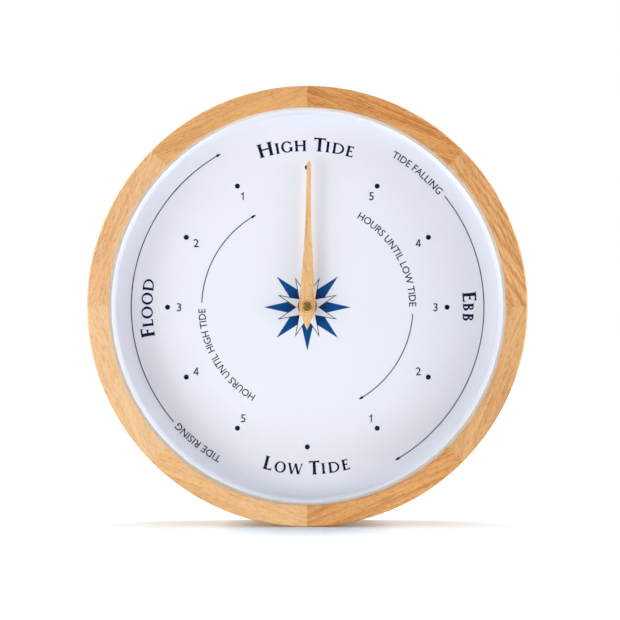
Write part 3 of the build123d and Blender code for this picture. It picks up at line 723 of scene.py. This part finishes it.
def arrow(radius, start, end):
    """Hairline clockwise from a start to an end, and a head that narrows by a power to a point, with
    a neck that widens in a straight line."""
    sweep = np.radians(np.linspace(start, end, hairline_steps))
    line = ribbon(polar(radius - hairline / 2, sweep), polar(radius + hairline / 2, sweep))
    neck, widening = arrow_neck_shares
    share = np.linspace(0, arrow_head_end, arrow_head_steps)
    half = arrow_head_width / 2 * (1 - share) ** arrow_head_power * np.minimum(1, neck + widening * share)
    way = math.radians(end) + (1 - 2 * share) * arrow_head_length / 2 / radius
    return joined([line, ribbon(polar(radius - half, way), polar(radius + half, way))])


ink("dial_arrows", [arrow(*places) for places in arrows], navy_ink, 2)

# Compass star of the printing: a blue star of eight points with a white star of eight points
# over it, set between them, with a thin dark outline.
star_points = 8
blue_tip, blue_valley = 0.0231, 0.0088
white_tip, white_valley = 0.0154, 0.0057
star_outline = 0.0007
star_tip_outline = 2.4 * star_outline
# The blue points darken to navy towards the middle of the star.
star_blue_tone = (0, 74, 142)
star_navy_tone = (4, 16, 72)
star_blue_span = (0.005, 0.013)
star_speckle = 1500.0
star_gloss = (0.50, 0.62)


def star(tip, valley, turn):
    """Star of eight points, its tips at a turn from the right and its valleys midway."""
    angles = turn + np.arange(2 * star_points) * math.pi / star_points
    return fan(np.where(np.arange(2 * star_points) % 2 == 0, tip, valley), angles)


star_blue, tree, principled = new_material("star_blue")
from_middle = placed(tree, middle=(0, dial_face, print_middle[1]))
bluer = ramp(tree, length_of(tree, from_middle), *star_blue_span)
blued = mixed(tree, bluer, shade(*star_navy_tone), shade(*star_blue_tone))
speckled = ramp(tree, noise(tree, from_middle, star_speckle), 0.3, 0.7, *star_gloss)
tree.links.new(blued, principled.inputs["Base Color"])
tree.links.new(speckled, principled.inputs["Roughness"])
principled.inputs["Specular IOR Level"].default_value = matt_print["Specular IOR Level"]
half_step = math.pi / star_points
outline = star(white_tip + star_tip_outline, white_valley + star_outline, half_step)
ink("star_blue_points", [star(blue_tip, blue_valley, 0)], star_blue, 1)
ink("star_outline", [outline], navy_ink, 2)
ink("star_white_points", [star(white_tip, white_valley, half_step)], dial_satin, 3)


# Board. A round of medium density fibre board behind the dial, sanded and left bare, that drops
# into the ring's recess from behind. Its face shows pressed fibres in two tones of brown.
board_tones = ((186, 150, 110), (138, 104, 72))
fibre_noise = (260, 1900, 2)
fibre_turn = 1.2
fibre_share, patch_share = 1.1, 0.5
fibre_span = (0.62, 1.05)
board_patches = 60.0
board_gloss = (0.60, 0.82)
board_bump = 0.00008


def fibre_group():
    """Short pressed fibres that lie every way: two drawn noises that cross, and broad patches."""
    tree, given, result = new_group("pressed_fibres", {"Vector": "Vector", "Pale": "Color", "Deep": "Color"})
    crossed = swung(tree, given["Vector"], fibre_turn)
    level = drawn_noise(tree, given["Vector"], *fibre_noise, 0.4)
    upright = drawn_noise(tree, crossed, *fibre_noise, 4.6)
    patches = noise(tree, given["Vector"], board_patches)
    fibres = math_of(tree, "MAXIMUM", level, upright)
    depth = weighed(tree, ((fibres, fibre_share), (patches, patch_share)))
    share = ramp(tree, depth, *fibre_span)
    tree.links.new(mixed(tree, share, given["Pale"], given["Deep"]), result["Color"])
    tree.links.new(ramp(tree, fibres, 0.3, 0.8, *board_gloss), result["Roughness"])
    tree.links.new(fibres, result["Height"])
    return tree


board_colours = {"Pale": shade(*board_tones[0]), "Deep": shade(*board_tones[1])}
bare_board = finish("bare_fibre_board", fibre_group(), board_colours, board_bump)
dress(bare_board, "dial_board")


# Board screws. Eight small steel pan head screws, zinc plated, driven through the ring's recess
# beside the board so that their heads clamp it.
scratch_noise = (90, 4200, 3, 2.6)
tarnish_scale = 160.0
tarnish_share = 0.55
dulled_roughness = 0.20
bare_metal = {"Metallic": 1.0}


def rolled_group():
    """Metal with fine scratches drawn along x, soft patches of tarnish, and a tone of its own."""
    tree, given, result = new_group("rolled_metal", {
        "Vector": "Vector", "Tint": "Color", "Tarnish": "Color", "Scratches": "Float", "Gloss": "Float",
    })
    scratches = drawn_noise(tree, given["Vector"], *scratch_noise)
    patches = noise(tree, given["Vector"], tarnish_scale, 3.0)
    dulled = ramp(tree, patches, 0.42, 0.72, 0.0, tarnish_share)
    scored = math_of(tree, "MULTIPLY", ramp(tree, scratches, 0.45, 0.75), given["Scratches"])
    share = math_of(tree, "ADD", dulled, scored)
    tree.links.new(mixed(tree, share, given["Tint"], given["Tarnish"]), result["Color"])
    gloss = math_of(tree, "MULTIPLY_ADD", share, dulled_roughness, given["Gloss"])
    tree.links.new(gloss, result["Roughness"])
    tree.links.new(math_of(tree, "MULTIPLY", scratches, given["Scratches"]), result["Height"])
    return tree


rolled_metal = rolled_group()


def rolled(name, tone, tarnish, scratches, gloss, bump, turn=(0, 0, 0)):
    """Rolled, plated or brushed metal: tone, tarnished tone, share of scratches, roughness, bump."""
    values = {"Tint": shade(*tone), "Tarnish": shade(*tarnish), "Scratches": scratches, "Gloss": gloss}
    return finish(name, rolled_metal, values, bump, bare_metal, turn)


screw_zinc = rolled("screw_zinc", (186, 188, 192), (140, 142, 146), scratches=0.25, gloss=0.26,
                    bump=0.000004)
dress(screw_zinc, "board_screws")

# Hanger strap and rubber washer. The strap is a bent strip of zinc plated steel with a keyhole,
# the washer a ring of black rubber, and both lie between the movement and the board.
upright_grain = (0, math.pi / 2, 0)
strap_zinc = rolled("strap_zinc", (178, 180, 184), (128, 131, 134), scratches=0.35, gloss=0.28,
                    bump=0.000006, turn=upright_grain)
dress(strap_zinc, "hanger_strap")
black_rubber = moulded("black_rubber", (26, 26, 27), drift=0.30, grain=1700, gloss=0.62, bump=0.00002)
dress(black_rubber, "rubber_washer")

# Brass washer, nut and bush. A flat washer and a round nut, both brass, that draw the threaded
# brass bush of the movement against the dial. All three are turned on a lathe, so their marks run
# round the axle.
axle = (0, 0, dial_middle)
lathe_patches = 420.0
lathe_patch_share, lathe_mark_share = 0.5, 0.4
lathe_roughness = 0.18


def turned_group():
    """Lathe marks round y: a noise of the distance from the axle and of the depth, and tarnish."""
    tree, given, result = new_group("turned_metal", {
        "Vector": "Vector", "Tint": "Color", "Tarnish": "Color", "Marks": "Float", "Gloss": "Float",
    })
    x, y, z = add(tree, "ShaderNodeSeparateXYZ", {0: given["Vector"]}).outputs
    squares = math_of(tree, "ADD", math_of(tree, "MULTIPLY", x, x), math_of(tree, "MULTIPLY", z, z))
    line = add(tree, "ShaderNodeCombineXYZ", {0: math_of(tree, "SQRT", squares), 1: y}).outputs[0]
    marks = noise(tree, line, given["Marks"])
    patches = noise(tree, given["Vector"], lathe_patches)
    share = weighed(tree, ((ramp(tree, patches, 0.4, 0.7), lathe_patch_share),
                           (ramp(tree, marks, 0.4, 0.7), lathe_mark_share)))
    gloss = math_of(tree, "MULTIPLY_ADD", share, lathe_roughness, given["Gloss"])
    tree.links.new(mixed(tree, share, given["Tint"], given["Tarnish"]), result["Color"])
    tree.links.new(gloss, result["Roughness"])
    tree.links.new(marks, result["Height"])
    return tree


turned_metal = turned_group()


def turned(name, tone, tarnish, marks, gloss, bump):
    """Metal turned round the axle: tone, tarnished tone, marks in a metre, roughness and bump."""
    values = {"Tint": shade(*tone), "Tarnish": shade(*tarnish), "Marks": marks, "Gloss": gloss}
    return finish(name, turned_metal, values, bump, bare_metal, middle=axle)


nut_brass = turned("nut_brass", (132, 86, 46), (84, 50, 28), marks=5200, gloss=0.26, bump=0.00001)
dress(nut_brass, "brass_washer", "centre_nut", "threaded_bush")

# Movement case. Two shells of black moulded plastic with a fine spark texture that clip together:
# the front one carries the bush, the rear one the battery tray.
black_case = moulded("black_case", (26, 26, 28), drift=0.25, grain=3000, gloss=0.46, bump=0.00003)
dress(black_case, "front_case", "rear_case")

# Battery and contacts. A single dry cell in a printed sleeve, plain but for a band at its plus
# end, and two springy strips of nickel plated steel that it lies between.
cell_low, cell_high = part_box("battery")
sleeve_end = 0.0012
plus_band = 0.0115
sleeve_dark = (44, 47, 54)
sleeve_band = (186, 120, 66)
cell_nickel = (188, 188, 186)
cell_scuffs = 420.0
cell_gloss = (0.22, 0.38)
cell_sleeve, tree, principled = new_material("cell_sleeve")
along_cell = add(tree, "ShaderNodeSeparateXYZ", {0: placed(tree)}).outputs[0]
not_low = math_of(tree, "GREATER_THAN", along_cell, cell_low.x + sleeve_end)
not_high = math_of(tree, "LESS_THAN", along_cell, cell_high.x - 2 * sleeve_end)
sleeved = math_of(tree, "MULTIPLY", not_low, not_high)
banded = math_of(tree, "GREATER_THAN", along_cell, cell_high.x - plus_band)
printed = mixed(tree, banded, shade(*sleeve_dark), shade(*sleeve_band))
scuffs = noise(tree, placed(tree), cell_scuffs, 4.0)
tree.links.new(mixed(tree, sleeved, shade(*cell_nickel), printed), principled.inputs["Base Color"])
tree.links.new(math_of(tree, "SUBTRACT", 1.0, sleeved), principled.inputs["Metallic"])
tree.links.new(ramp(tree, scuffs, 0.3, 0.7, *cell_gloss), principled.inputs["Roughness"])
dress(cell_sleeve, "battery")
contact_nickel = rolled("contact_nickel", (200, 198, 190), (160, 156, 146), scratches=0.25, gloss=0.22,
                        bump=0.000003)
dress(contact_nickel, "positive_contact", "negative_contact")

# Setting knob. A thumb wheel of red moulded plastic at the back of the case, pressed on the arbor
# of the minute wheel and turned by hand to set the clock.
knob_red = moulded("knob_red", (168, 28, 24), drift=0.12, grain=1800, gloss=0.32, bump=0.00001)
dress(knob_red, "setting_knob")

# Wheels of the train and their plate. The wheels are moulded in white acetal, faintly waxy, and
# the plate in a greyer plastic. The cannon pinion, which the tide wheel's tube runs on, is turned
# brass.
white_acetal = moulded("white_acetal", (228, 228, 220), drift=0.05, grain=1600, gloss=0.34, bump=0.00001)
plate_plastic = moulded("plate_plastic", (206, 204, 194), drift=0.06, grain=1200, gloss=0.42, bump=0.00001)
cannon_brass = turned("cannon_brass", (206, 170, 96), (160, 124, 66), marks=4200, gloss=0.24, bump=0.000006)
dress(white_acetal, "tide_wheel", "minute_wheel", "clutch_wheel", "third_wheel", "second_wheel",
      "first_wheel", "rotor_pinion")
dress(plate_plastic, "train_plate")
dress(cannon_brass, "cannon_pinion")

# Motor. A coil of enamelled copper wire on a moulded bobbin, over a core of soft iron that closes
# on the stator, and a small round magnet that turns in the stator's eye.
wire_pitch = 0.00022
wire_depth = wire_pitch / 3
wire_gloss = (0.24, 0.36)
wire_scale = 900.0
crown_share, uneven_share, even_share = -0.6, 0.6, 0.45
copper_tones = ((196, 112, 66), (140, 68, 38))
motor_iron = rolled("motor_iron", (150, 150, 152), (104, 104, 106), scratches=0.40, gloss=0.34,
                    bump=0.000004)
bobbin_nylon = moulded("bobbin_nylon", (222, 214, 194), drift=0.06, grain=1500, gloss=0.40, bump=0.00001)
magnet_grey = moulded("magnet_grey", (56, 56, 60), drift=0.20, grain=2200, gloss=0.38, bump=0.00001,
                      plain={"Metallic": 0.6})
dress(motor_iron, "stator", "coil_core")
dress(bobbin_nylon, "coil_bobbin")
dress(magnet_grey, "rotor_magnet")


def winding_group():
    """Turns of wire side by side along x: a sine of the place along the coil, and uneven tones."""
    tree, given, result = new_group("wound_wire", {
        "Vector": "Vector", "Pale": "Color", "Deep": "Color", "Pitch": "Float",
    })
    x = add(tree, "ShaderNodeSeparateXYZ", {0: given["Vector"]}).outputs[0]
    counted = math_of(tree, "DIVIDE", x, given["Pitch"])
    turns = math_of(tree, "SINE", math_of(tree, "MULTIPLY", counted, 2 * math.pi))
    crown = math_of(tree, "MULTIPLY_ADD", turns, 0.5, 0.5)
    uneven = noise(tree, given["Vector"], wire_scale)
    share = weighed(tree, ((crown, crown_share), (uneven, uneven_share)))
    deepened = math_of(tree, "ADD", share, even_share)
    tree.links.new(mixed(tree, deepened, given["Pale"], given["Deep"]), result["Color"])
    tree.links.new(ramp(tree, uneven, 0.3, 0.7, *wire_gloss), result["Roughness"])
    tree.links.new(crown, result["Height"])
    return tree


copper = {"Pale": shade(*copper_tones[0]), "Deep": shade(*copper_tones[1]), "Pitch": wire_pitch}
wound_copper = finish("wound_copper", winding_group(), copper, wire_depth, {"Metallic": 0.9})
dress(wound_copper, "coil_winding")

# Circuit. A small board of green glass fibre with lacquered copper tracks, a quartz crystal in a
# drawn metal can, and the timing chip under a drop of black resin.
track_pitch = 0.0016
gap_share = 0.55
track_bump = 0.00003
track_gloss = (0.42, 0.30)
mask_tones = ((30, 84, 52), (58, 128, 84))
lacquered, tree, principled = new_material("lacquered_tracks")
x, y, z = add(tree, "ShaderNodeSeparateXYZ", {0: placed(tree)}).outputs
jog = math_of(tree, "PINGPONG", math_of(tree, "DIVIDE", x, 3 * track_pitch), 1.0)
lane = math_of(tree, "FRACT", math_of(tree, "ADD", math_of(tree, "DIVIDE", z, track_pitch), jog))
track = math_of(tree, "GREATER_THAN", lane, gap_share)
masked = mixed(tree, track, shade(*mask_tones[0]), shade(*mask_tones[1]))
raised = add(tree, "ShaderNodeBump", {"Height": track, "Distance": track_bump})
tree.links.new(masked, principled.inputs["Base Color"])
tree.links.new(ramp(tree, track, 0.0, 1.0, *track_gloss), principled.inputs["Roughness"])
tree.links.new(raised.outputs[0], principled.inputs["Normal"])
dress(lacquered, "circuit_board")
crystal_can = rolled("crystal_can", (196, 196, 200), (160, 160, 164), scratches=0.20, gloss=0.20,
                     bump=0.000003, turn=upright_grain)
resin_drop = moulded("resin_drop", (24, 24, 25), drift=0.20, grain=900, gloss=0.20, bump=0.00002)
dress(crystal_can, "quartz_crystal")
dress(resin_drop, "timing_chip")

# Hand. Cut from thin aluminium, bevelled along its edges, and lacquered in a tan close to the
# ring's, with a fine grain along its length like that of the ring's wood.
hand_lacquer = {"Specular IOR Level": 0.2}
hand_bump = 0.000003
hand_tones = ((253, 212, 160), (212, 154, 90))
hand_grain = {"Pale": shade(*hand_tones[0]), "Deep": shade(*hand_tones[1]), "Lines": 0.40,
              "Flecks": 0.25, "Streaks": 0.2, "Seed": 3.3}
hand_tan = finish("hand_tan", beech_grain, hand_grain, hand_bump, hand_lacquer, upright_grain)
dress(hand_tan, "hand")

# Collet and cap nut. The collet is a turned brass flange under the hand, riveted into its hub, and
# the cap nut a small brass nut, dark in tone, with a dimple that holds the hand on the axle.
collet_brass = turned("collet_brass", (216, 170, 112), (170, 122, 72), marks=5200, gloss=0.38, bump=0.000006)
# The cap's dark tone is partly tarnish and partly painted reflection of the dark surroundings its dome
# mirrors.
cap_brass_and_painted_reflection = turned("cap_brass_and_painted_reflection", (140, 112, 52), (66, 48, 22), marks=5200, gloss=0.20, bump=0.00001)
dress(collet_brass, "hand_collet")
dress(cap_brass_and_painted_reflection, "cap_nut")
